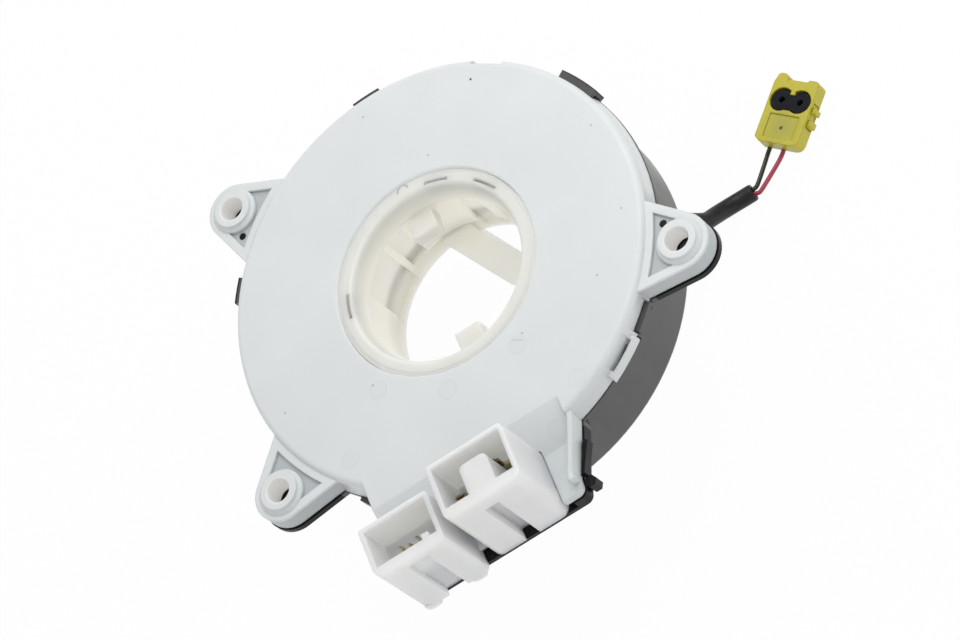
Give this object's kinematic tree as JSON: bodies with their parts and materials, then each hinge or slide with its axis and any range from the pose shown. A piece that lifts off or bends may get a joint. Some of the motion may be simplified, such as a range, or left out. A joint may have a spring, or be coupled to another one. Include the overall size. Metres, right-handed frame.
{
  "type": "steering clock spring",
  "caption": "Ring-shaped spiral cable unit for a steering column, with screw ears, two plug sockets, a turning sleeve and a short lead with a yellow plug.",
  "frame": {"origin": "on the turning axis, in the plane of the ear bosses' column side", "axes": "+Z along the turning axis towards the steering column; -Y towards the two column sockets"},
  "size_m": [0.1527, 0.1266, 0.0705],
  "materials": {
    "cover_white": "milky, satin moulded",
    "case_black": "glossy moulded",
    "socket_white": "satin moulded",
    "rotor_cream": "satin moulded",
    "contact_brass": "stamped and plated",
    "cable_film": "laminated film",
    "slip_film": "thin smooth film",
    "lead_black": "satin sleeve",
    "wire_black": "satin insulation",
    "wire_red": "satin insulation",
    "plug_yellow": "satin moulded",
    "insert_black": "satin moulded"
  },
  "bodies": {
    "stator": {"rear_cover": "cover_white", "front_case": "case_black", "connector_block": "socket_white", "socket_a_pins": "contact_brass", "socket_b_terminals": "contact_brass", "connector_busbars": "contact_brass", "outer_cable_clamp": "rotor_cream", "flat_cable": "cable_film", "rear_slip_sheet": "slip_film"},
    "rotor": {"rear_sleeve": "rotor_cream", "front_rotor": "rotor_cream", "front_slip_sheet": "slip_film", "inner_cable_clamp": "rotor_cream", "front_socket": "rotor_cream", "front_socket_pins": "contact_brass", "lead_clamp": "rotor_cream", "lead_sleeve": "lead_black", "lead_wire_black": "wire_black", "lead_wire_red": "wire_red", "plug_housing": "plug_yellow", "plug_insert": "insert_black", "plug_lock": "plug_yellow", "plug_terminals": "contact_brass"}
  },
  "joints": [
    {"name": "rotor_turn", "type": "hinge", "parent": "stator", "child": "rotor", "pos_m": [0, 0, 0], "axis": [0, 0, 1], "range_deg": [-900, 900]}
  ]
}
